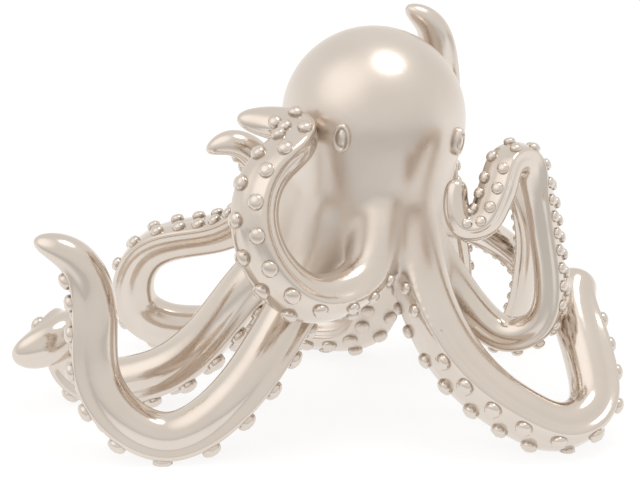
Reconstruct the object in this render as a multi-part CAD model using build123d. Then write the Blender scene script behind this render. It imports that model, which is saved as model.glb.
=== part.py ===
from build123d import *
import math
import os

# Octopus figurine: a cast body and eight cast arms on square pins, plated all over.
# Millimetres, +Z up. The figurine faces -Y and stands on z = 0.

# Head and body, turned about one leaning axis
HEAD_CENTRE = Vector(39.5, 13, 194)
HEAD_RADIUS = 60.5
BODY_FOOT = Vector(33, 4, 96)
FOOT_RADIUS = 45.0
FOOT_CHAMFER = 12.0

# Eyes, raised ovals with a rim round a sunken middle
EYE_WIDTH = 11.0
EYE_HEIGHT = 19.0
EYE_END = 4.0
EYE_PROUD = 2.2
EYE_ROOT = 4.0
EYE_RIM = 1.8
EYE_DEPTH = 1.2
# Degrees each eye is turned from the front, and its height above the head's middle
EYES = ((-20.1, 2.0), (63.0, -8.5))

# Arms: the shape of their section, where they are joined, how they end
ARM_SIDES = 12
ARM_BACK = 0.95
ARM_BELLY = 0.85
ARM_STEP = 18.0
JOINT_REACH = 110.0
STUB_STEPS = 5
TIP_SHARPNESS = 12
TIP_START = 0.985

# Suckers: two rows along the belly of each arm, sized by the arm's half-width
SUCKER_SIDES = 6
SUCKER_WIDTH = 0.36
SUCKER_HEIGHT = 0.26
SUCKER_TAPER = 0.74
SUCKER_SINK = 1.5
SUCKER_LEAST = 2.2

# Square pins that carry the arms and keep them from turning
PIN_WIDTH = 6.0
PIN_LENGTH = 30.0
PIN_PLAY = 0.1
PIN_END_ROOM = 0.5

# Each arm: the route of its middle from inside the body to the tip, its half-width at
# the root, at the middle and at the end, and how far its belly is rolled from facing
# down at the joint, in degrees.
ARMS = {
    "front_right": {
        "route": [(50, -2, 158), (60, -20, 132), (68, -40, 102), (87, -62, 63), (109, -77, 41),
                  (135, -85, 25), (159, -83, 16), (178, -69, 22), (180, -48, 42), (174, -26, 63),
                  (172, -7, 78), (177, 6, 88)],
        "half_width": (24, 19, 15), "roll": -40},
    "front_loop": {
        "route": [(44, -8, 160), (42, -34, 138), (37, -52, 113), (20, -70, 102), (-2, -84, 104),
                  (-23, -90, 123), (-34, -86, 150), (-32, -77, 172), (-22, -66, 186),
                  (-11, -55, 194), (-9, -43, 198), (-18, -34, 201), (-32, -30, 203), (-48, -30, 205)],
        "half_width": (20, 15.5, 12.5), "roll": 40},
    "front_left": {
        "route": [(38, 0, 162), (13, -18, 147), (4, -24, 117), (-15, -40, 78), (-33, -61, 53),
                  (-57, -83, 29), (-92, -92, 13), (-124, -90, 29), (-137, -83, 53),
                  (-138, -77, 83), (-140, -72, 106), (-150, -72, 126), (-174, -74, 138)],
        "half_width": (20, 17.5, 15), "roll": 0},
    "left": {
        "route": [(30, 4, 162), (-2, -3, 147), (-13, -5, 121), (-41, -8, 85), (-67, -6, 51),
                  (-96, -3, 25), (-123, 0, 15), (-150, 8, 15), (-162, 12, 27), (-163, 10, 43),
                  (-164, 0, 53), (-173, -14, 49), (-198, -22, 41)],
        "half_width": (20, 18.5, 14), "roll": 0},
    "back_left": {
        "route": [(47, 16, 155), (49, 40, 105), (44, 67, 56), (30, 87, 22), (-20, 105, 15),
                  (-80, 106, 15), (-106, 105, 18), (-124, 105, 30), (-128, 102, 50),
                  (-117, 97, 74), (-93, 88, 87), (-67, 76, 95), (-45, 62, 110), (-33, 50, 135),
                  (-40, 42, 161), (-54, 38, 170), (-71, 36, 165)],
        "half_width": (17, 16.5, 13), "roll": 0},
    "back": {
        "route": [(46, 18, 155), (66, 46, 105), (80, 80, 52), (89, 108, 10), (98, 122, 26),
                  (100, 122, 62), (93, 116, 100), (87, 102, 145), (86, 84, 190), (84, 75, 220),
                  (78, 70, 244), (62, 66, 256)],
        "half_width": (16, 12.5, 14), "roll": -25},
    "back_right": {
        "route": [(50, 12, 155), (80, 38, 122), (108, 78, 101), (127, 105, 83), (147, 122, 61),
                  (156, 130, 35), (149, 130, 10), (135, 118, 7), (137, 104, 14), (145, 97, 33),
                  (149, 95, 60), (150, 95, 80), (146, 95, 104), (139, 97, 121), (128, 104, 134)],
        "half_width": (15, 10, 8), "roll": 0},
    "right": {
        "route": [(52, 2, 155), (77, -9, 112), (102, -22, 78), (127, -34, 61), (147, -41, 71),
                  (153, -41, 98), (149, -38, 130), (143, -36, 162), (132, -43, 183),
                  (120, -55, 181), (112, -64, 167), (104, -69, 154), (97, -69, 148),
                  (90, -62, 153), (91, -53, 170)],
        "half_width": (17, 11.5, 13.5), "roll": 0},
}


def half_width(share, widths):
    """Half-width of an arm at a share of its length, drawn in to a leaf-like tip."""
    root, middle, end = widths
    taper = root * (1 - share) * (1 - 2 * share) + 4 * middle * share * (1 - share)
    taper += end * share * (2 * share - 1)
    return taper * math.sqrt(1 - share ** TIP_SHARPNESS)


def section(plane, size):
    """Corners of an arm's section: round on the back (+Y), flatter on the belly."""
    corners = []
    for index in range(ARM_SIDES):
        angle = 2 * math.pi * index / ARM_SIDES
        height = math.sin(angle) * (ARM_BACK if math.sin(angle) > 0 else ARM_BELLY)
        corners.append(plane.from_local_coords(Vector(math.cos(angle), height) * size))
    return corners


def carry(ring, start, end, normal, growth):
    """Carry a ring along one straight run to a mitre plane, so that every side stays flat."""
    run = end - start
    carried = []
    for corner in ring:
        heading = run if math.isclose(growth, 1) else start + run / (1 - growth) - corner
        reach = (end - corner).dot(normal) / heading.dot(normal)
        carried.append(corner + heading * reach)
    return carried


def rings_along(first_ring, places, sizes):
    """Rings at each place of a route, mitred halfway between the runs that meet there."""
    runs = [(end - start).normalized() for start, end in zip(places, places[1:])]
    normals = [(run + after).normalized() for run, after in zip(runs, runs[1:])] + [runs[-1]]
    rings = [first_ring]
    for step, normal in enumerate(normals):
        growth = sizes[step + 1] / sizes[step]
        rings.append(carry(rings[-1], places[step], places[step + 1], normal, growth))
    return rings


def flat_face(corners):
    return Face(Wire.make_polygon(corners, close=True))


def tube(rings, tip=None):
    """A closed solid of flat sides through the rings, pointed where a tip is given."""
    faces = [flat_face(rings[0])]
    for near, far in zip(rings, rings[1:]):
        for side in range(ARM_SIDES):
            faces.append(flat_face([near[side - 1], near[side], far[side], far[side - 1]]))
    if tip is None:
        faces.append(flat_face(rings[-1]))
    else:
        faces += [flat_face([rings[-1][side - 1], rings[-1][side], tip]) for side in range(ARM_SIDES)]
    return Solid(Shell(faces))


def sucker(seat, size):
    """One sucker, a short cone sunk into its seat that narrows to its rim."""
    radius = size * SUCKER_WIDTH
    foot = seat.offset(-SUCKER_SINK) * RegularPolygon(radius, SUCKER_SIDES)
    rim = seat.offset(size * SUCKER_HEIGHT) * RegularPolygon(radius * SUCKER_TAPER, SUCKER_SIDES)
    return Solid.make_loft([foot.wire(), rim.wire()], ruled=True)


def suckers_along(rings, sizes):
    """Two rows of suckers either side of the belly's middle, staggered run by run."""
    belly = 3 * ARM_SIDES // 4
    lanes = (belly - 1, belly + 2)
    suckers = []
    for step in range(1, len(rings) - 2):
        lane = lanes[step % 2]
        near, far = rings[step], rings[step + 1]
        corners = [near[lane - 1], near[lane], far[lane], far[lane - 1]]
        outward = (corners[1] - corners[0]).cross(corners[3] - corners[0])
        if sizes[step + 1] * SUCKER_WIDTH >= SUCKER_LEAST:
            seat = Plane(sum(corners, Vector()) / len(corners), z_dir=outward)
            suckers.append(sucker(seat, sizes[step + 1]))
    return suckers


def joint_plane(route, roll):
    """Where an arm meets the body: square to its route, with +Y towards the arm's back."""
    share = JOINT_REACH / route.length
    heading = route % share
    level = Plane(route @ share, x_dir=Vector(0, 0, 1).cross(heading), z_dir=heading)
    return level.rotated((0, 0, roll))


def pin(joint):
    return joint * Box(PIN_WIDTH, PIN_WIDTH, PIN_LENGTH)


def pin_hole(joint):
    """The two blind holes for a pin, one in the arm and one in its stub, as one cutter."""
    width = PIN_WIDTH + 2 * PIN_PLAY
    return joint * Box(width, width, PIN_LENGTH + 2 * PIN_END_ROOM)


def arm_casting(route, joint, widths):
    """An arm from its joint to its tip, with its suckers, cut flat where it stands."""
    start = JOINT_REACH / route.length
    steps = round((route.length - JOINT_REACH) / ARM_STEP)
    shares = [start + (TIP_START - start) * step / steps for step in range(steps + 1)]
    places = [route @ share for share in shares]
    sizes = [half_width(share, widths) for share in shares]
    rings = rings_along(section(joint, sizes[0]), places, sizes)
    casting = tube(rings, route @ 1).fuse(*suckers_along(rings, sizes))
    standing = split(casting, bisect_by=Plane.XY, keep=Keep.TOP)
    return (standing - pin_hole(joint)).solid()


def arm_stub(route, joint, widths):
    """The length of an arm that is cast with the body, from the joint back to its root."""
    start = JOINT_REACH / route.length
    shares = [start * (1 - step / STUB_STEPS) for step in range(STUB_STEPS + 1)]
    places = [route @ share for share in shares]
    sizes = [half_width(share, widths) for share in shares]
    return tube(rings_along(section(joint, sizes[0]), places, sizes))


def body_core():
    """Head, neck and foot in one turned shape: a round crown drawn in to the foot."""
    lean = HEAD_CENTRE - BODY_FOOT
    upright = Plane(HEAD_CENTRE, x_dir=(1, 0, 0), z_dir=lean)
    turning = Plane(HEAD_CENTRE, x_dir=upright.x_dir, z_dir=-upright.y_dir)
    drop = lean.length - FOOT_CHAMFER
    touch = math.acos(HEAD_RADIUS / math.hypot(FOOT_RADIUS, drop)) - math.atan2(drop, FOOT_RADIUS)
    touch = math.degrees(touch)
    with BuildSketch(turning) as half:
        with BuildLine():
            crown = CenterArc((0, 0), HEAD_RADIUS, touch, 90 - touch)
            side = Line(crown @ 0, (FOOT_RADIUS, -drop))
            heel = Line(side @ 1, (FOOT_RADIUS - FOOT_CHAMFER, -lean.length))
            sole = Line(heel @ 1, (0, -lean.length))
            Line(sole @ 1, crown @ 1)
        make_face()
    return revolve(half.sketch, axis=Axis(HEAD_CENTRE, lean)).solid()


def oval(width, height, end):
    """An upright oval of four arcs, with ends of the given radius."""
    across, along = width / 2, height / 2 - end
    side = (across ** 2 + along ** 2 - end ** 2) / (2 * (across - end))
    turn = math.degrees(math.atan2(along, side - across))
    with BuildSketch() as outline:
        with BuildLine():
            CenterArc((across - side, 0), side, -turn, 2 * turn)
            CenterArc((0, along), end, turn, 180 - 2 * turn)
            CenterArc((side - across, 0), side, 180 - turn, 2 * turn)
            CenterArc((0, -along), end, 180 + turn, 180 - 2 * turn)
        make_face()
    return outline.sketch


def eye(turn, height):
    """A raised oval on the head and the hollow inside its rim."""
    rise = math.asin(height / HEAD_RADIUS)
    turn = math.radians(turn)
    across = Vector(math.cos(turn), math.sin(turn), 0)
    outward = Vector(math.sin(turn), -math.cos(turn), 0) * math.cos(rise)
    outward += Vector(0, 0, math.sin(rise))
    skin = Plane(HEAD_CENTRE + outward * HEAD_RADIUS, x_dir=across, z_dir=outward)
    outside = oval(EYE_WIDTH, EYE_HEIGHT, EYE_END)
    middle = oval(EYE_WIDTH - 2 * EYE_RIM, EYE_HEIGHT - 2 * EYE_RIM, EYE_END - EYE_RIM)
    raised = extrude(skin.offset(-EYE_ROOT) * outside, EYE_ROOT + EYE_PROUD)
    return raised, extrude(skin.offset(EYE_PROUD - EYE_DEPTH) * middle, EYE_DEPTH)


def mantle(routes, joints):
    """Head, body, eyes and the eight arm stubs in one casting, bored for the pins."""
    stubs = [arm_stub(routes[name], joints[name], ARMS[name]["half_width"]) for name in ARMS]
    casting = body_core().fuse(*stubs)
    for turn, height in EYES:
        raised, hollow = eye(turn, height)
        casting = casting + raised - hollow
    return casting.cut(*[pin_hole(joint) for joint in joints.values()]).solid()


routes = {name: Spline(*arm["route"]) for name, arm in ARMS.items()}
joints = {name: joint_plane(routes[name], arm["roll"]) for name, arm in ARMS.items()}
pieces = {"mantle": mantle(routes, joints)}
for name, arm in ARMS.items():
    pieces["arm_" + name] = arm_casting(routes[name], joints[name], arm["half_width"])
    pieces["pin_" + name] = pin(joints[name])

# The origin lies under the middle of the whole figurine
box = Compound(list(pieces.values())).bounding_box()
origin = Vector(box.center().X, box.center().Y, box.min.Z)
os.makedirs("parts", exist_ok=True)
for name, piece in pieces.items():
    export_step(piece.moved(Location(-origin)), f"parts/{name}.step")
print("size", box.size, "origin", origin)
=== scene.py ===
import math
from bisect import bisect_left, bisect_right
from functools import lru_cache
import bmesh
import bpy
from mathutils import Matrix, Vector


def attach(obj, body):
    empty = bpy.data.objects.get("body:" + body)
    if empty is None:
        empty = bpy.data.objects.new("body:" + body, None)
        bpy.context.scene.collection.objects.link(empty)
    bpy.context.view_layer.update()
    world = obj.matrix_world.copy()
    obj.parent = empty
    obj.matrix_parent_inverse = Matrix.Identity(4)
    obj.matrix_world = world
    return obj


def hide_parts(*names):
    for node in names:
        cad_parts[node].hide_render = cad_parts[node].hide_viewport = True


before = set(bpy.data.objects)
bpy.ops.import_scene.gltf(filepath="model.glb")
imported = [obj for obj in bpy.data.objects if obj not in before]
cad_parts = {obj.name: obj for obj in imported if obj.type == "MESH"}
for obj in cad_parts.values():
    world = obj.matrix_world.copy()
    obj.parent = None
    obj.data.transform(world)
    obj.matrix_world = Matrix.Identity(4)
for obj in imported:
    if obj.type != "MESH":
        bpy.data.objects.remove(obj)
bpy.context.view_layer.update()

# The figurine's sizes are in millimetres, as in the part's source
MM = 0.001
# Where the middle of the figurine's box lies in the coordinates of the arm routes
MIDDLE = Vector((-1.448, 16.038, 0.0))

HEAD_CENTRE = Vector((39.5, 13, 194))
HEAD_RADIUS = 60.5
BODY_FOOT = Vector((33, 4, 96))
FOOT_RADIUS = 45.0
FOOT_CHAMFER = 12.0
CROWN_STEPS = 48
BODY_SIDES = 128
# Points of the turned body closer than this become one
BODY_MERGE = 0.001

EYE_WIDTH = 11.0
EYE_HEIGHT = 19.0
EYE_SIDES = 40
# How deep an eye is set into the head
EYE_ROOT = 5.0
# Degrees each eye is turned from the front, and its height above the head's middle
EYES = {"eye_left": (-20.1, 2.0), "eye_right": (63.0, -8.5)}
# Share of the eye's half-width, and height above the head, of each ring
EYE_PROFILE = [(1.0, 0.0), (0.98, 1.9), (0.92, 2.8), (0.83, 3.1), (0.74, 2.7), (0.66, 1.3),
               (0.6, 1.2), (0.48, 2.4), (0.3, 3.2), (0.12, 3.4)]

# Distance of every joint from its arm's root, along the route
JOINT_REACH = 110.0
ARM_SIDES = 72
RING_STEP = 1.8
# A route's heading is taken between points this far before and after
HEADING_STEP = 0.5
# An arm's section: angle up from the side and distance from the middle, in half-widths.
# A round back, a groove, a raised edge and a flat belly; a plain oval; a flat leaf at the tip.
ARM_SECTION = ((90, 0.94), (60, 0.94), (35, 0.93), (15, 0.915), (0, 0.89), (-12, 0.88),
               (-19, 0.93), (-25, 1.04), (-30, 1.11), (-36, 1.1), (-44, 1.01), (-60, 0.87), (-90, 0.77))
ROOT_SECTION = ((90, 0.95), (45, 0.97), (0, 1.0), (-45, 0.92), (-90, 0.85))
LEAF_SECTION = ((90, 0.8), (45, 0.86), (0, 1.0), (-45, 0.84), (-90, 0.74))
# The raised edge grows between these distances from the root
EDGE_START = 45.0
EDGE_FULL = 95.0
# Length before the tip over which the section changes to that of the tip
LEAF_LENGTH = 60.0
# Length before the tip that has closer rings, and their number
TIP_FINE = 14.0
TIP_RINGS = 12
TIP_SHARPNESS = 20
# A section's slope is taken between angles this many degrees to either side
SLOPE_STEP = 0.5

SUCKER_SIDES = 12
# Half-width of a sucker in half-widths of the arm, and distance to the next in its row, in its own
SUCKER_WIDTH = 0.31
SUCKER_SPACING = 3.5
# Degrees of the two rows below the arm's sides, and of a sucker's lean to its side
SUCKER_ANGLE = 54.0
SUCKER_TILT = 14.0
# Lengths without suckers beside a joint and before the tip, and where they begin on the roots
SUCKER_START = 8.0
SUCKER_END = 26.0
STUB_SUCKER_START = 70.0
# Suckers near the body are smaller: share of their full size there, and where they are full-grown
SUCKER_YOUNG = 0.62
SUCKER_GROWN = 150.0
# Depth of its base in the arm, and radius and height of its rings, in its own half-widths
SUCKER_ROOT = 0.5
SUCKER_PROFILE = [(1.0, 0.3), (0.94, 0.48), (0.72, 0.68), (0.36, 0.82)]

# The body and the arm roots flow together in two passes: size of the mesh, rounds of evening
SKIN_VOXELS = (2.4, 1.2)
SKIN_ROUNDS = (40, 14)
SKIN_EVENING = 0.5
# The skin flows fully up to the near distance from the body's axis, and least from the far one
FLOW_NEAR = 52.0
FLOW_FAR = 92.0
FLOW_LEAST = 0.2
# Length over which the skin settles on an arm stub, in half-widths of the stub
SEAM_HOLD = 1.0
# How far along and across a stub the skin is held at its joint, and cut, in half-widths
SEAM_LENGTH = 1.4
SEAM_REACH = 1.4
TRIM_REACH = 1.16
# The stubs run this far over their joints until they are cut
SEAM_OVERRUN = 8.0
# Points this close to a joint's plane, in half-widths, lie on its rim
SEAM_TOUCH = 0.0005
# Points of the skin this close to a joint's plane are moved onto it, so that no slivers are cut
SEAM_SNAP = 0.5
# A face whose middle is this close to the plane lies flat in it, and goes with what is cut off
FLAT_SLIVER = 0.002
# A face between points of the joint closes the stub if it looks along the arm by at least this share
CAP_FACING = 0.7
# A cut goes through points that lie this close to it, in metres
JOINT_CUT_TOUCH = 1e-7
GROUND_CUT_TOUCH = 1e-6

# Colours are linear. A tint lists places on a scale from 0 to 1, each with its colour.
# Noise has a scale and a number of finer layers.
PLATING_NOISE = (22, 3)
PLATING_TINT = ((0.3, (0.71, 0.632, 0.56)), (0.7, (0.75, 0.675, 0.605)))
# Painted shade: the plating is darkened to this colour in grooves and round the foot of each sucker,
# where shade falls
PAINTED_RECESS_SHADE = (0.5, 0.45, 0.4)
# For the painted shade, how far round a point, in metres, the surface is looked at for recesses, and
# how often
PAINTED_SHADE_REACH = 0.008
PAINTED_SHADE_SAMPLES = 8
# How open the surface must be for the painted shade to be full, and for it to be gone
PAINTED_SHADE_FADE = ((0.35, (0, 0, 0)), (0.8, (1, 1, 1)))
POLISH_NOISE = (60, 4)
POLISH_ROUGHNESS = (0.11, 0.19)
# Unevenness of the cast surface: depth in metres and strength
CAST_NOISE = (32, 3)
CAST_DEPTH = 0.0016
CAST_STRENGTH = 0.25
# The head and neck are more satin than the arms: within these distances of the body's axis.
# Most of all the neck, where polishing reaches least: from the second height down to the first.
BODY_AXIS = (0.0385, -0.007)
BODY_SATIN_NEAR = 0.058
BODY_SATIN_FAR = 0.085
NECK_HEIGHTS = (0.13, 0.175)
NECK_AND_HEAD_SATIN = (0.3, 0.14)
PIN_NOISE = (400, 4)
PIN_TINT = ((0.3, (0.42, 0.43, 0.44)), (0.7, (0.56, 0.57, 0.58)))
PIN_POLISH_NOISE = (900, 4)
PIN_ROUGHNESS = (0.25, 0.4)

PHOTO_WIDTH = 640
CAMERA_FOCUS = 2280
CAMERA_SENSOR = 36
CAMERA_RISE = 18.0
CAMERA_DISTANCE = 1500.0
CAMERA_TARGET = (4.6, 0, 113.4)

FLOOR_SIZE = 6.0
FLOOR_NOISE = (3, 1)
FLOOR_TINT = ((0.0, (0.2, 0.2, 0.2)), (1.0, (0.22, 0.22, 0.22)))
FLOOR_ROUGHNESS = 0.9
FLOOR_GLOW = 0.83
# The floor's glow falls off towards the viewer between these places, in metres, to this share
FLOOR_FULL = -0.15
FLOOR_DIM = -0.45
FLOOR_LEAST = 0.55
# Place in metres, width and length in metres, power in watts
LAMPS = {
    "overhead_right": ((0.34, -0.05, 1.4), (0.55, 0.55), 2.6),
}
LAMP_AIM = (0, 0, 0.12)
# Soft lights in the surroundings: which way they lie, how wide in degrees, how bright
SOFTBOXES = (((0.31, -0.05, 0.95), 42.0, 0.06), ((-0.55, -0.3, 0.75), 40.0, 0.5))
# Warmth of the surroundings: share of red, green and blue
ROOM_TINT = (1.0, 0.985, 0.965)
# Brightness of the surroundings by height above the horizon, behind and on the viewer's side,
# and the directions from front to back between which one changes to the other
ROOM_BEHIND = ((0.0, 1.0), (0.1, 0.97), (0.35, 0.89), (1.0, 0.87))
ROOM_FRONT = ((0.0, 0.8), (0.1, 0.83), (0.35, 0.88), (1.0, 0.87))
ROOM_TURN = (-0.6, 0.3)
# Sockets of a mix node for colours
MIX_SHARE, MIX_FIRST, MIX_SECOND, MIX_RESULT = 0, 6, 7, 2

# Each arm has the points of its route from root to tip, its half-widths at the root, in the middle
# and at the end, and the degrees its section is turned about the route. Some have more:
# tip, how late the end is rounded off; end, the section at the tip; twist, a further turn in degrees
# and the distances between which it comes; draw_in, the length before the tip over which the arm
# narrows and the share that is left; sucker and spacing, as in SUCKER_WIDTH and SUCKER_SPACING;
# bare, the length before the tip without suckers.
ARMS = {
    "front_right": {
        "route": [(50, -2, 158), (60, -20, 132), (68, -40, 102), (87, -62, 63), (109, -77, 41),
                  (135, -85, 25), (159, -83, 16), (178, -69, 22), (180, -48, 42), (174, -26, 63),
                  (172, -7, 78), (177, 6, 88)],
        "half_width": (24, 18, 17), "roll": -68, "tip": 80, "end": ROOT_SECTION, "sucker": 0.31},
    "front_loop": {
        "route": [(44, -8, 160), (42, -34, 138), (37, -52, 113), (20, -70, 102), (-2, -84, 104),
                  (-23, -90, 123), (-34, -86, 150), (-32, -77, 172), (-22, -66, 186),
                  (-11, -55, 194), (-9, -43, 198), (-18, -34, 201), (-32, -30, 203), (-48, -30, 205)],
        "half_width": (20, 15.5, 12.5), "roll": 40, "sucker": 0.36},
    "front_left": {
        "route": [(38, 0, 162), (13, -18, 147), (4, -24, 117), (-15, -40, 78), (-33, -61, 53),
                  (-57, -83, 29), (-92, -92, 13), (-124, -90, 29), (-137, -83, 53),
                  (-138, -77, 83), (-140, -72, 106), (-150, -72, 126), (-174, -74, 138)],
        "half_width": (20, 17.5, 15.5), "roll": 24, "sucker": 0.38},
    "left": {
        "route": [(30, 4, 162), (-2, -3, 147), (-13, -5, 121), (-41, -8, 85), (-67, -6, 51),
                  (-96, -3, 25), (-123, 0, 15), (-150, 8, 15), (-162, 12, 26), (-164, 10, 40),
                  (-165, 0, 49), (-174, -13, 47), (-198, -22, 40)],
        "half_width": (20, 18.5, 17.5), "roll": 12, "sucker": 0.36},
    "back_left": {
        "route": [(47, 16, 155), (49, 40, 105), (44, 67, 56), (30, 87, 22), (-20, 105, 15),
                  (-80, 106, 15), (-106, 105, 18), (-124, 105, 30), (-128, 102, 50),
                  (-117, 97, 74), (-93, 88, 87), (-67, 76, 95), (-45, 62, 110), (-33, 50, 135),
                  (-40, 42, 161), (-54, 38, 170), (-71, 36, 165)],
        "half_width": (17, 16.5, 13), "roll": 0, "twist": (-55, 200, 290)},
    "back": {
        "route": [(46, 18, 155), (66, 46, 105), (80, 80, 52), (89, 108, 10), (98, 122, 26),
                  (100, 122, 62), (93, 116, 100), (87, 102, 145), (86, 84, 190), (84, 75, 220),
                  (78, 70, 244), (62, 66, 256)],
        "half_width": (16, 12.5, 16), "roll": -25, "bare": 75},
    "back_right": {
        "route": [(50, 12, 155), (80, 38, 122), (108, 78, 101), (127, 105, 83), (147, 122, 61),
                  (156, 130, 35), (149, 130, 10), (135, 118, 7), (137, 104, 14), (145, 97, 33),
                  (149, 95, 60), (150, 95, 80), (146, 95, 104), (139, 97, 121), (128, 104, 134)],
        "half_width": (15, 10, 8), "roll": 70},
    "right": {
        "route": [(52, 2, 155), (77, -9, 112), (102, -22, 78), (127, -34, 61), (147, -41, 71),
                  (153, -41, 98), (149, -38, 130), (143, -36, 162), (132, -43, 183),
                  (122, -54, 182), (117, -62, 170), (112, -67, 158), (105, -70, 148),
                  (95, -70, 147), (90, -67, 156), (91, -61, 174)],
        "half_width": (17, 11.5, 13.5), "roll": 0, "tip": 110, "end": ROOT_SECTION,
        "draw_in": (70, 0.6), "twist": (62, 235, 290), "sucker": 0.33, "spacing": 3.0},
}


def placed(point):
    """A point of the routes, in millimetres, as a place in the scene."""
    return (Vector(point) - MIDDLE) * MM


def eased(share):
    """A share from 0 to 1 with a gentle start and end."""
    share = min(max(share, 0.0), 1.0)
    return share * share * (3 - 2 * share)


class Route:
    """A smooth line through an arm's points, read by distance from the root."""

    def __init__(self, points):
        self.points = [Vector(point) for point in points]
        self.knots = [0.0]
        for start, end in zip(self.points, self.points[1:]):
            self.knots.append(self.knots[-1] + (end - start).length)
        self.bends = self.solve_bends()
        count = int(self.knots[-1])
        self.times = [self.knots[-1] * i / count for i in range(count + 1)]
        spots = [self.at_time(time) for time in self.times]
        self.marks = [0.0]
        for start, end in zip(spots, spots[1:]):
            self.marks.append(self.marks[-1] + (end - start).length)
        self.length = self.marks[-1]

    def solve_bends(self):
        """Second derivatives of the natural cubic through the points."""
        points, knots = self.points, self.knots
        slopes = [Vector((0, 0, 0))]
        gains = [0.0]
        for i in range(1, len(points) - 1):
            before = knots[i] - knots[i - 1]
            after = knots[i + 1] - knots[i]
            pull = (points[i + 1] - points[i]) / after - (points[i] - points[i - 1]) / before
            pivot = 2 * (before + after) - before * gains[-1]
            slopes.append((6 * pull - before * slopes[-1]) / pivot)
            gains.append(after / pivot)
        bends = [Vector((0, 0, 0))]
        for slope, gain in zip(reversed(slopes), reversed(gains)):
            bends.append(slope - gain * bends[-1])
        return list(reversed(bends))

    def at_time(self, time):
        """The place on the cubic, by length along the straight lines between the points."""
        i = min(max(bisect_left(self.knots, time) - 1, 0), len(self.knots) - 2)
        span = self.knots[i + 1] - self.knots[i]
        near = (time - self.knots[i]) / span
        far = 1 - near
        bend = self.bends[i] * (far ** 3 - far) + self.bends[i + 1] * (near ** 3 - near)
        return self.points[i] * far + self.points[i + 1] * near + bend * span * span / 6

    def at(self, distance):
        """The place at a distance along the line itself."""
        distance = min(max(distance, 0.0), self.length)
        i = min(bisect_right(self.marks, distance) - 1, len(self.marks) - 2)
        share = (distance - self.marks[i]) / (self.marks[i + 1] - self.marks[i])
        return self.at_time(self.times[i] + (self.times[i + 1] - self.times[i]) * share)

    def heading(self, distance):
        ahead = self.at(min(distance + HEADING_STEP, self.length))
        return (ahead - self.at(max(distance - HEADING_STEP, 0.0))).normalized()


def half_width(share, widths, sharpness):
    """Half-width of an arm at a share of its length, rounded off at the tip."""
    root, middle, end = widths
    taper = root * (1 - share) * (1 - 2 * share) + 4 * middle * share * (1 - share)
    taper += end * share * (2 * share - 1)
    return taper * math.sqrt(max(1 - share ** sharpness, 0.0))


@lru_cache(maxsize=None)
def section_radius(section, angle):
    """Distance from the middle at an angle, on a smooth line through a section's points."""
    i = 0
    while i < len(section) - 2 and section[i + 1][0] > angle:
        i += 1
    slopes = []
    for k in (i, i + 1):
        if 0 < k < len(section) - 1:
            (before, low), (after, high) = section[k - 1], section[k + 1]
            slopes.append((high - low) / (after - before))
        else:
            slopes.append(0.0)
    (start, near), (end, far) = section[i], section[i + 1]
    span = end - start
    t = (angle - start) / span
    value = near * (2 * t ** 3 - 3 * t ** 2 + 1) + far * (3 * t ** 2 - 2 * t ** 3)
    return value + span * (slopes[0] * (t ** 3 - 2 * t ** 2 + t) + slopes[1] * (t ** 3 - t ** 2))


def section_normal(spot):
    """Outward normal of an arm's section at a place on its joint."""
    angle = math.atan2(spot.y, abs(spot.x))
    low, middle, high = (section_radius(ARM_SECTION, round(math.degrees(angle) + off, 2))
                         for off in (-SLOPE_STEP, 0.0, SLOPE_STEP))
    slope = (high - low) / math.radians(2 * SLOPE_STEP)
    across = middle * math.cos(angle) + slope * math.sin(angle)
    upward = middle * math.sin(angle) - slope * math.cos(angle)
    return Vector((math.copysign(across, spot.x), upward, 0)).normalized()


def carried_frames(route):
    """Untwisted frames along a route, level with the ground at the joint: one for each step."""
    steps = round(route.length / RING_STEP)
    distances = [route.length * i / steps for i in range(steps + 1)]
    joint = min(range(steps + 1), key=lambda i: abs(distances[i] - JOINT_REACH))
    headings = [route.heading(distance) for distance in distances]
    sides = [None] * (steps + 1)
    sides[joint] = Vector((0, 0, 1)).cross(headings[joint]).normalized()
    for i in range(joint + 1, steps + 1):
        sides[i] = (headings[i - 1].rotation_difference(headings[i]) @ sides[i - 1]).normalized()
    for i in range(joint - 1, -1, -1):
        sides[i] = (headings[i + 1].rotation_difference(headings[i]) @ sides[i + 1]).normalized()
    return distances, headings, sides


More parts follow.
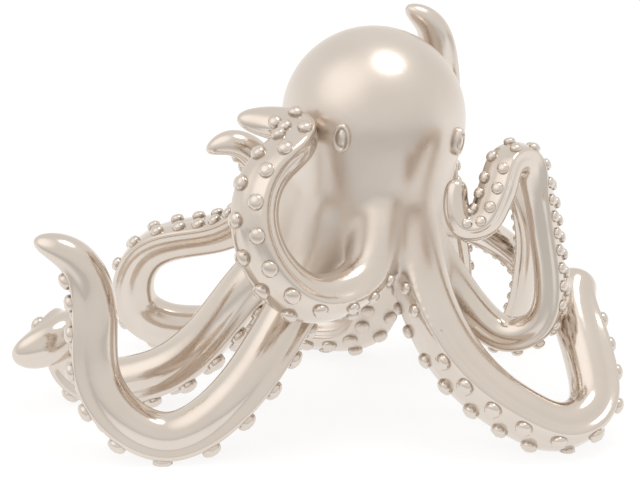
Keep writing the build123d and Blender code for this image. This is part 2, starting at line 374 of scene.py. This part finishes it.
class Arm:
    """Where an arm's rings lie: x across, y towards its back, z along it."""

    def __init__(self, name):
        settings = ARMS[name]
        self.name = name
        self.route = Route(settings["route"])
        self.distances, self.headings, self.sides = carried_frames(self.route)
        self.widths = settings["half_width"]
        self.roll = settings["roll"]
        self.twist = settings.get("twist", (0, 0, 1))
        self.sharpness = settings.get("tip", TIP_SHARPNESS)
        self.end_section = settings.get("end", LEAF_SECTION)
        self.draw_in = settings.get("draw_in", (LEAF_LENGTH, 1.0))
        self.sucker = settings.get("sucker", SUCKER_WIDTH)
        self.spacing = settings.get("spacing", SUCKER_SPACING)
        self.bare = settings.get("bare", SUCKER_END)

    def frame(self, distance):
        """Place and turn of the arm at a distance from its root."""
        steps = len(self.distances) - 1
        i = min(max(round(distance / self.route.length * steps), 0), steps)
        heading = self.route.heading(distance)
        side = (self.headings[i].rotation_difference(heading) @ self.sides[i]).normalized()
        back = heading.cross(side)
        facing = Matrix((side, back, heading)).transposed().to_4x4()
        angle, start, end = self.twist
        roll = self.roll + angle * eased((distance - start) / (end - start))
        turn = Matrix.Rotation(math.radians(roll), 4, "Z")
        return Matrix.Translation(placed(self.route.at(distance))) @ facing @ turn

    def size(self, distance):
        """Half-width of the arm in metres."""
        length, share = self.draw_in
        drawn = 1 - (1 - share) * eased(1 - (self.route.length - distance) / length)
        return half_width(distance / self.route.length, self.widths, self.sharpness) * drawn * MM

    def ring(self, distance):
        """The frame with the arm's half-width as its unit."""
        size = self.size(distance)
        return self.frame(distance) @ Matrix.Diagonal((size, size, size, 1))

    def radius(self, distance, angle):
        """Distance of the skin from the middle at an angle, in half-widths."""
        edge = eased((distance - EDGE_START) / (EDGE_FULL - EDGE_START))
        leaf = eased(1 - (self.route.length - distance) / LEAF_LENGTH)
        plain = section_radius(ROOT_SECTION, angle)
        value = plain + (section_radius(ARM_SECTION, angle) - plain) * edge
        return value + (section_radius(self.end_section, angle) - value) * leaf

    def shape(self, verts, distance):
        """Bring a ring of points to the arm's section."""
        ring = self.ring(distance)
        across = ring.inverted()
        for vert in verts:
            spot = across @ vert.co
            angle = round(math.degrees(math.atan2(spot.y, abs(spot.x))), 2)
            spread = self.radius(distance, angle) / math.hypot(spot.x, spot.y)
            vert.co = ring @ Vector((spot.x * spread, spot.y * spread, 0))


def as_mesh(name, bm):
    mesh = bpy.data.meshes.new(name)
    bm.to_mesh(mesh)
    bm.free()
    return mesh


def new_object(name, mesh):
    piece = bpy.data.objects.new(name, mesh)
    bpy.context.collection.objects.link(piece)
    return piece


def smooth_piece(name, bm):
    mesh = as_mesh(name, bm)
    for face in mesh.polygons:
        face.use_smooth = True
    return new_object(name, mesh)


def joined(forms):
    """Several forms in one, which stay closed forms of their own."""
    bm = bmesh.new()
    for form in forms:
        mesh = as_mesh("form", form)
        bm.from_mesh(mesh)
        bpy.data.meshes.remove(mesh)
    return bm


def drawn_out(bm, edges):
    """Draw a ring of edges out into a new ring: its points and its edges."""
    drawn = bmesh.ops.extrude_edge_only(bm, edges=edges)["geom"]
    verts = [item for item in drawn if isinstance(item, bmesh.types.BMVert)]
    edges = [item for item in drawn if isinstance(item, bmesh.types.BMEdge)
             and all(vert in verts for vert in item.verts)]
    return verts, edges


def close_rims(bm, rims):
    """Close open rims with flat faces and turn all faces outwards."""
    for rim in rims:
        bmesh.ops.contextual_create(bm, geom=rim)
    bmesh.ops.recalc_face_normals(bm, faces=bm.faces[:])


def button(sides, root, profile):
    """A round form drawn out from a sunken base, ring by ring of a profile of radius and height."""
    bm = bmesh.new()
    bmesh.ops.create_circle(bm, segments=sides, radius=1.0)
    bmesh.ops.translate(bm, verts=bm.verts[:], vec=(0, 0, -root))
    base = bm.edges[:]
    edges = base
    held, level = 1.0, -root
    for radius, height in profile:
        verts, edges = drawn_out(bm, edges)
        bmesh.ops.translate(bm, verts=verts, vec=(0, 0, height - level))
        bmesh.ops.scale(bm, verts=verts, vec=(radius / held, radius / held, 1))
        held, level = radius, height
    close_rims(bm, [edges, base])
    return bm


def tube(arm, start, end, pointed):
    """A tube along part of an arm, drawn out ring by ring and shaped to its section."""
    last = end - TIP_FINE if pointed else end
    steps = round((last - start) / RING_STEP)
    distances = [start + (last - start) * i / steps for i in range(steps + 1)]
    if pointed:
        distances += [end - TIP_FINE * (1 - i / TIP_RINGS) ** 2 for i in range(1, TIP_RINGS)]
    bm = bmesh.new()
    bmesh.ops.create_circle(bm, segments=ARM_SIDES, radius=1.0)
    held = arm.ring(distances[0])
    bmesh.ops.transform(bm, matrix=held, verts=bm.verts[:])
    arm.shape(bm.verts, distances[0])
    first = bm.edges[:]
    edges = first
    for distance in distances[1:]:
        verts, edges = drawn_out(bm, edges)
        ring = arm.ring(distance)
        bmesh.ops.transform(bm, matrix=ring @ held.inverted(), verts=verts)
        arm.shape(verts, distance)
        held = ring
    if pointed:
        verts, edges = drawn_out(bm, edges)
        bmesh.ops.pointmerge(bm, verts=verts, merge_co=placed(arm.route.at(end)))
        close_rims(bm, [first])
    else:
        close_rims(bm, [edges, first])
    return bm


def suckers(arm, sucker, start, end):
    """Two rows of suckers on the arm's belly, by turns left and right, in proportion to its width."""
    bm = bmesh.new()
    angle = math.radians(SUCKER_ANGLE)
    tilt = math.radians(SUCKER_TILT)
    distance = start
    side = 1
    while distance < end:
        size = arm.size(distance)
        grown = eased((distance - STUB_SUCKER_START) / (SUCKER_GROWN - STUB_SUCKER_START))
        share = arm.sucker * (SUCKER_YOUNG + (1 - SUCKER_YOUNG) * grown)
        reach = arm.radius(distance, -SUCKER_ANGLE) * size
        seat = Vector((math.cos(angle) * side, -math.sin(angle), 0)) * reach
        outward = Vector((math.sin(tilt) * side, -math.cos(tilt), 0))
        turn = Vector((0, 0, 1)).rotation_difference(outward).to_matrix().to_4x4()
        scale = Matrix.Scale(size * share, 4)
        place = arm.frame(distance) @ Matrix.Translation(seat) @ turn @ scale
        before = len(bm.verts)
        bm.from_mesh(sucker)
        bm.verts.ensure_lookup_table()
        bmesh.ops.transform(bm, matrix=place, verts=bm.verts[before:])
        distance += arm.spacing / 2 * share * size / MM
        side = -side
    return bm


def stand(bm):
    """Cut off flat what would lie below the ground."""
    bmesh.ops.bisect_plane(bm, geom=bm.verts[:] + bm.edges[:] + bm.faces[:], dist=GROUND_CUT_TOUCH,
                           plane_co=(0, 0, 0), plane_no=(0, 0, 1), clear_inner=True)
    rim = [edge for edge in bm.edges if edge.is_boundary]
    if rim:
        bmesh.ops.edgeloop_fill(bm, edges=rim)
        bmesh.ops.recalc_face_normals(bm, faces=bm.faces[:])


def casting(arm, sucker):
    """An arm from its joint to its tip, with its suckers."""
    row = suckers(arm, sucker, JOINT_REACH + SUCKER_START, arm.route.length - arm.bare)
    bm = joined([tube(arm, JOINT_REACH, arm.route.length, pointed=True), row])
    stand(bm)
    piece = smooth_piece("casting_" + arm.name, bm)
    blend_seam(piece, [arm.ring(JOINT_REACH)])
    return piece


def body_profile():
    """Half outline of the head, neck and foot: distance from the axis and height."""
    depth = (HEAD_CENTRE - BODY_FOOT).length
    drop = depth - FOOT_CHAMFER
    touch = math.acos(HEAD_RADIUS / math.hypot(FOOT_RADIUS, drop)) - math.atan2(drop, FOOT_RADIUS)
    outline = []
    for i in range(CROWN_STEPS + 1):
        angle = math.pi / 2 + (touch - math.pi / 2) * i / CROWN_STEPS
        outline.append((HEAD_RADIUS * math.cos(angle), HEAD_RADIUS * math.sin(angle)))
    outline += [(FOOT_RADIUS, -drop), (FOOT_RADIUS - FOOT_CHAMFER, -depth), (0.0, -depth)]
    return outline


def body():
    """Head, neck and foot as one turned form."""
    bm = bmesh.new()
    verts = [bm.verts.new((radius, 0, height)) for radius, height in body_profile()]
    edges = [bm.edges.new(pair) for pair in zip(verts, verts[1:])]
    bmesh.ops.spin(bm, geom=verts + edges, cent=(0, 0, 0), axis=(0, 0, 1),
                   angle=2 * math.pi, steps=BODY_SIDES, use_merge=True)
    bmesh.ops.remove_doubles(bm, verts=bm.verts[:], dist=BODY_MERGE)
    bmesh.ops.recalc_face_normals(bm, faces=bm.faces[:])
    lean = Vector((0, 0, 1)).rotation_difference(HEAD_CENTRE - BODY_FOOT).to_matrix().to_4x4()
    place = Matrix.Translation(placed(HEAD_CENTRE)) @ Matrix.Scale(MM, 4) @ lean
    bmesh.ops.transform(bm, matrix=place, verts=bm.verts[:])
    return bm


def settled(piece):
    """The same piece with the work of its modifiers in its mesh."""
    name = piece.name
    view = piece.evaluated_get(bpy.context.evaluated_depsgraph_get())
    mesh = bpy.data.meshes.new_from_object(view)
    bpy.data.objects.remove(piece)
    return new_object(name, mesh)


def within_stub(point, joint, reach):
    """Whether a point lies on the end of an arm stub, close to its joint."""
    spot = joint.inverted() @ point
    return abs(spot.z) < SEAM_LENGTH and math.hypot(spot.x, spot.y) < reach


def seam_hold(point, joints):
    """How far a point is held to the clean form of an arm stub: 1 at a joint, 0 well before it."""
    for joint in joints:
        if within_stub(point, joint, SEAM_REACH):
            return min(max(1 + (joint.inverted() @ point).z / SEAM_HOLD, 0.0), 1.0)
    return 0.0


def flow_weight(point):
    """How far the skin may flow: fully near the body's axis, little out on the arms."""
    axis = (placed(HEAD_CENTRE) - placed(BODY_FOOT)).normalized()
    away = point - placed(BODY_FOOT)
    off = (away - axis * away.dot(axis)).length / MM
    share = min(max((FLOW_FAR - off) / (FLOW_FAR - FLOW_NEAR), 0.0), 1.0)
    return FLOW_LEAST + (1 - FLOW_LEAST) * share


def skin_round(skin, voxel, rounds, stubs, joints):
    """One pass of the skin: remeshed evenly, evened out and settled on the arm stubs."""
    remesh = skin.modifiers.new("remesh", "REMESH")
    remesh.mode = "VOXEL"
    remesh.voxel_size = voxel * MM
    skin = settled(skin)
    held = skin.vertex_groups.new(name="held")
    free = skin.vertex_groups.new(name="free")
    for vert in skin.data.vertices:
        hold = seam_hold(vert.co, joints)
        held.add([vert.index], hold, "REPLACE")
        free.add([vert.index], (1 - hold) * flow_weight(vert.co), "REPLACE")
    even = skin.modifiers.new("even", "SMOOTH")
    even.factor = SKIN_EVENING
    even.iterations = rounds
    even.vertex_group = "free"
    cling = skin.modifiers.new("cling", "SHRINKWRAP")
    cling.target = stubs
    cling.wrap_method = "NEAREST_SURFACEPOINT"
    cling.vertex_group = "held"
    return settled(skin)


def body_skin(forms, stubs, joints):
    """One smooth skin over the body and the arm stubs, exact where the arms join on."""
    skin = smooth_piece("skin", joined(forms))
    for voxel, rounds in zip(SKIN_VOXELS, SKIN_ROUNDS):
        skin = skin_round(skin, voxel, rounds, stubs, joints)
    bm = bmesh.new()
    bm.from_mesh(skin.data)
    bpy.data.objects.remove(skin)
    return bm


def stub_faces(bm, joint):
    return [face for face in bm.faces if within_stub(face.calc_center_median(), joint, TRIM_REACH)]


def trim_stubs(bm, joints):
    """Cut the skin off square at each joint and close it."""
    for joint in joints:
        point = joint.translation
        heading = (joint.to_3x3() @ Vector((0, 0, 1))).normalized()
        near = stub_faces(bm, joint)
        corners = {vert for face in near for vert in face.verts}
        for vert in corners:
            off = (vert.co - point).dot(heading)
            if abs(off) < SEAM_SNAP * MM:
                vert.co -= heading * off
        around = set(near)
        for face in near:
            around.update(face.verts)
            around.update(face.edges)
        bmesh.ops.bisect_plane(bm, geom=list(around), dist=JOINT_CUT_TOUCH,
                               plane_co=point, plane_no=heading)
        beyond = [face for face in stub_faces(bm, joint)
                  if (face.calc_center_median() - point).dot(heading) > -FLAT_SLIVER * MM]
        bmesh.ops.delete(bm, geom=beyond, context="FACES")
        rim = [edge for edge in bm.edges if edge.is_boundary]
        bmesh.ops.contextual_create(bm, geom=rim)
    bmesh.ops.recalc_face_normals(bm, faces=bm.faces[:])


def blend_seam(piece, joints):
    """Give both sides of a joint the arm's own normals, so that the plating runs over it."""
    mesh = piece.data
    normals = [Vector(vert.normal) for vert in mesh.vertices]
    at_joint = {}
    for joint in joints:
        across = joint.inverted()
        turn = joint.to_3x3().normalized()
        for vert in mesh.vertices:
            spot = across @ vert.co
            if abs(spot.z) < SEAM_TOUCH and math.hypot(spot.x, spot.y) < SEAM_REACH:
                normals[vert.index] = turn @ section_normal(spot)
                at_joint[vert.index] = turn @ Vector((0, 0, 1))
    corners = []
    for face in mesh.polygons:
        cap = all(index in at_joint for index in face.vertices)
        cap = cap and abs(face.normal.dot(at_joint[face.vertices[0]])) > CAP_FACING
        for index in face.vertices:
            corners.append(Vector(face.normal) if cap else normals[index])
    mesh.normals_split_custom_set(corners)


def mantle(arms, sucker):
    """Head, neck and arm roots as one casting, with the suckers of the roots."""
    joints = []
    stub_tubes = []
    for arm in arms.values():
        joints.append(arm.ring(JOINT_REACH))
        stub_tubes.append(tube(arm, 0.0, JOINT_REACH + SEAM_OVERRUN, pointed=False))
    forms = [body()] + [stub.copy() for stub in stub_tubes]
    stubs = smooth_piece("stubs", joined(stub_tubes))
    bm = body_skin(forms, stubs, joints)
    bpy.data.objects.remove(stubs)
    trim_stubs(bm, joints)
    last = JOINT_REACH - SUCKER_START
    rows = [suckers(arm, sucker, STUB_SUCKER_START, last) for arm in arms.values()]
    piece = smooth_piece("casting_mantle", joined([bm] + rows))
    blend_seam(piece, joints)
    return piece


def eye(name, turn, height):
    """A raised oval with a rounded rim and a domed middle, set on the head."""
    bm = button(EYE_SIDES, EYE_ROOT, EYE_PROFILE)
    bmesh.ops.scale(bm, verts=bm.verts[:], vec=(EYE_WIDTH / 2, EYE_HEIGHT / 2, 1))
    rise = math.asin(height / HEAD_RADIUS)
    turn = math.radians(turn)
    level = math.cos(rise)
    outward = Vector((math.sin(turn) * level, -math.cos(turn) * level, math.sin(rise)))
    across = Vector((math.cos(turn), math.sin(turn), 0))
    upward = outward.cross(across)
    facing = Matrix((across, upward, outward)).transposed().to_4x4()
    seat = Matrix.Translation(placed(HEAD_CENTRE + outward * HEAD_RADIUS))
    bmesh.ops.transform(bm, matrix=seat @ facing @ Matrix.Scale(MM, 4), verts=bm.verts[:])
    return smooth_piece(name, bm)


def grey(value):
    return (value, value, value)


class Nodes:
    """A tree of shader nodes under construction. Values are outputs of nodes, or constants."""

    def __init__(self, tree, coordinates):
        self.tree = tree
        self.place = self.add("ShaderNodeTexCoord").outputs[coordinates]

    def add(self, kind):
        return self.tree.nodes.new(kind)

    def feed(self, value, socket):
        if isinstance(value, bpy.types.NodeSocket):
            self.tree.links.new(value, socket)
        else:
            socket.default_value = value

    def noise(self, scale, detail):
        node = self.add("ShaderNodeTexNoise")
        self.feed(self.place, node.inputs["Vector"])
        self.feed(scale, node.inputs["Scale"])
        self.feed(detail, node.inputs["Detail"])
        return node.outputs["Fac"]

    def ramp(self, value, stops):
        """A colour that runs through stops, each with its place and colour."""
        node = self.add("ShaderNodeValToRGB")
        elements = node.color_ramp.elements
        while len(elements) < len(stops):
            elements.new(0.5)
        for element, (position, colour) in zip(elements, stops):
            element.position = position
            element.color = (*colour, 1)
        self.feed(value, node.inputs["Fac"])
        return node.outputs["Color"]

    def ranged(self, value, low, high):
        """A value from 0 to 1 brought evenly to a range."""
        node = self.add("ShaderNodeMapRange")
        self.feed(value, node.inputs["Value"])
        self.feed(low, node.inputs["To Min"])
        self.feed(high, node.inputs["To Max"])
        return node.outputs["Result"]

    def between(self, value, start, end, low=0.0, high=1.0):
        """From low to high, gently, while a value goes from start to end."""
        result = self.ranged(value, low, high)
        result.node.interpolation_type = "SMOOTHSTEP"
        self.feed(start, result.node.inputs["From Min"])
        self.feed(end, result.node.inputs["From Max"])
        return result

    def axis(self, name):
        """How far a place lies along one axis."""
        node = self.add("ShaderNodeSeparateXYZ")
        self.feed(self.place, node.inputs["Vector"])
        return node.outputs[name]

    def vectors(self, operation, first, second):
        node = self.add("ShaderNodeVectorMath")
        node.operation = operation
        self.feed(first, node.inputs[0])
        self.feed(second, node.inputs[1])
        return node

    def numbers(self, operation, first, second):
        node = self.add("ShaderNodeMath")
        node.operation = operation
        self.feed(first, node.inputs[0])
        self.feed(second, node.inputs[1])
        return node.outputs["Value"]

    def mixed(self, share, first, second):
        """The first colour where the share is 0, the second where it is 1."""
        node = self.add("ShaderNodeMix")
        node.data_type = "RGBA"
        self.feed(share, node.inputs[MIX_SHARE])
        self.feed(first, node.inputs[MIX_FIRST])
        self.feed(second, node.inputs[MIX_SECOND])
        return node.outputs[MIX_RESULT]


class Shader(Nodes):
    """A node material under construction."""

    def __init__(self, name):
        self.material = bpy.data.materials.new(name)
        self.material.use_nodes = True
        super().__init__(self.material.node_tree, "Object")
        self.bsdf = self.tree.nodes["Principled BSDF"]

    def set(self, name, value):
        self.feed(value, self.bsdf.inputs[name])

    def from_axis(self, axis, near, far):
        """How near a place lies to an upright line: 1 within the near distance, 0 from the far one."""
        flat = self.vectors("MULTIPLY", self.place, (1, 1, 0)).outputs["Vector"]
        gap = self.vectors("DISTANCE", flat, (*axis, 0)).outputs["Value"]
        return self.between(gap, near, far, 1.0, 0.0)

    def painted_shade_openness(self):
        """How open the surface lies, for the painted shade: less in grooves and round the foot of a
        sucker.
        """
        node = self.add("ShaderNodeAmbientOcclusion")
        node.samples = PAINTED_SHADE_SAMPLES
        node.only_local = True
        self.feed(PAINTED_SHADE_REACH, node.inputs["Distance"])
        return node.outputs["AO"]

    def bump(self, height, distance, strength):
        node = self.add("ShaderNodeBump")
        self.feed(height, node.inputs["Height"])
        self.feed(distance, node.inputs["Distance"])
        self.feed(strength, node.inputs["Strength"])
        return node.outputs["Normal"]


def plating():
    """Bright champagne-silver plating with the slight unevenness of a cast surface, and painted shade
    in its grooves and round its suckers.
    """
    shader = Shader("champagne_plating")
    shader.set("Metallic", 1.0)
    tint = shader.ramp(shader.noise(*PLATING_NOISE), PLATING_TINT)
    # Painted shade: the colour turns darker where the surface is closed in, in grooves and round the
    # suckers
    painted_shade_mask = shader.ramp(shader.painted_shade_openness(), PAINTED_SHADE_FADE)
    shader.set("Base Color", shader.mixed(painted_shade_mask, (*PAINTED_RECESS_SHADE, 1), tint))
    near_body = shader.from_axis(BODY_AXIS, BODY_SATIN_NEAR, BODY_SATIN_FAR)
    above_neck = shader.between(shader.axis("Z"), *NECK_HEIGHTS)
    satin = shader.numbers("MULTIPLY", near_body, shader.ranged(above_neck, *NECK_AND_HEAD_SATIN))
    polish = shader.ranged(shader.noise(*POLISH_NOISE), *POLISH_ROUGHNESS)
    shader.set("Roughness", shader.numbers("ADD", polish, satin))
    shader.set("Normal", shader.bump(shader.noise(*CAST_NOISE), CAST_DEPTH, CAST_STRENGTH))
    return shader.material


def pin_steel():
    """Ground steel with a fine, uneven sheen."""
    shader = Shader("pin_steel")
    shader.set("Metallic", 1.0)
    shader.set("Base Color", shader.ramp(shader.noise(*PIN_NOISE), PIN_TINT))
    shader.set("Roughness", shader.ranged(shader.noise(*PIN_POLISH_NOISE), *PIN_ROUGHNESS))
    return shader.material


def floor_white():
    """Pale floor that glows, less so towards the viewer, for the plating to reflect."""
    shader = Shader("floor_white")
    shader.set("Base Color", shader.ramp(shader.noise(*FLOOR_NOISE), FLOOR_TINT))
    shader.set("Roughness", FLOOR_ROUGHNESS)
    shader.set("Specular IOR Level", 0.0)
    lit = shader.between(shader.axis("Y"), FLOOR_DIM, FLOOR_FULL)
    shader.set("Emission Color", shader.ramp(lit, ((0.0, grey(FLOOR_LEAST)), (1.0, grey(1.0)))))
    shader.set("Emission Strength", FLOOR_GLOW)
    return shader.material


def surroundings():
    """White surroundings, a little darker higher up and on the viewer's side, with soft lights."""
    world = bpy.data.worlds.new("studio")
    bpy.context.scene.world = world
    world.use_nodes = True
    nodes = Nodes(world.node_tree, "Generated")
    background = nodes.tree.nodes["Background"]
    colours = []
    for levels in (ROOM_FRONT, ROOM_BEHIND):
        stops = [(height, [value * share for share in ROOM_TINT]) for height, value in levels]
        colours.append(nodes.ramp(nodes.axis("Z"), stops))
    behind = nodes.between(nodes.axis("Y"), *ROOM_TURN)
    nodes.feed(nodes.mixed(behind, *colours), background.inputs["Color"])
    level = 1.0
    for facing, width, gain in SOFTBOXES:
        direction = Vector(facing).normalized()
        toward = nodes.vectors("DOT_PRODUCT", nodes.place, direction).outputs["Value"]
        glow = nodes.between(toward, math.cos(math.radians(width)), 1.0, 0.0, gain)
        level = nodes.numbers("ADD", glow, level)
    nodes.feed(level, background.inputs["Strength"])


def coated(piece, material):
    piece.data.materials.clear()
    piece.data.materials.append(material)


def studio():
    """Pale floor, surroundings and one soft lamp above."""
    bm = bmesh.new()
    bmesh.ops.create_grid(bm, x_segments=1, y_segments=1, size=FLOOR_SIZE / 2)
    floor = smooth_piece("floor", bm)
    coated(floor, floor_white())
    surroundings()
    for name, (place, size, power) in LAMPS.items():
        data = bpy.data.lights.new(name, "AREA")
        data.shape = "ELLIPSE"
        data.size, data.size_y = size
        data.energy = power
        lamp = new_object(name, data)
        lamp.location = place
        lamp.rotation_euler = (Vector(LAMP_AIM) - Vector(place)).to_track_quat("-Z", "Y").to_euler()


def camera():
    """The photograph's view: from in front, a little above."""
    data = bpy.data.cameras.new("camera")
    data.sensor_width = CAMERA_SENSOR
    data.lens = CAMERA_SENSOR * CAMERA_FOCUS / PHOTO_WIDTH
    viewer = new_object("camera", data)
    rise = math.radians(CAMERA_RISE)
    back = Vector((0, -math.cos(rise), math.sin(rise)))
    viewer.location = placed(CAMERA_TARGET) + back * CAMERA_DISTANCE * MM
    viewer.rotation_euler = (-back).to_track_quat("-Z", "Y").to_euler()
    bpy.context.scene.camera = viewer


sucker = as_mesh("sucker", button(SUCKER_SIDES, SUCKER_ROOT, SUCKER_PROFILE))
arms = {name: Arm(name) for name in ARMS}
pieces = {"mantle": mantle(arms, sucker)}
for name, arm in arms.items():
    pieces["arm_" + name] = casting(arm, sucker)
for node, piece in pieces.items():
    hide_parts(node)
for name, (turn, height) in EYES.items():
    pieces[name] = eye(name, turn, height)
silver = plating()
for piece in pieces.values():
    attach(piece, "root")
    coated(piece, silver)

steel = pin_steel()
for name in ARMS:
    coated(bpy.data.objects["pin_" + name], steel)

studio()
camera()
bpy.context.scene.view_settings.view_transform = "Standard"
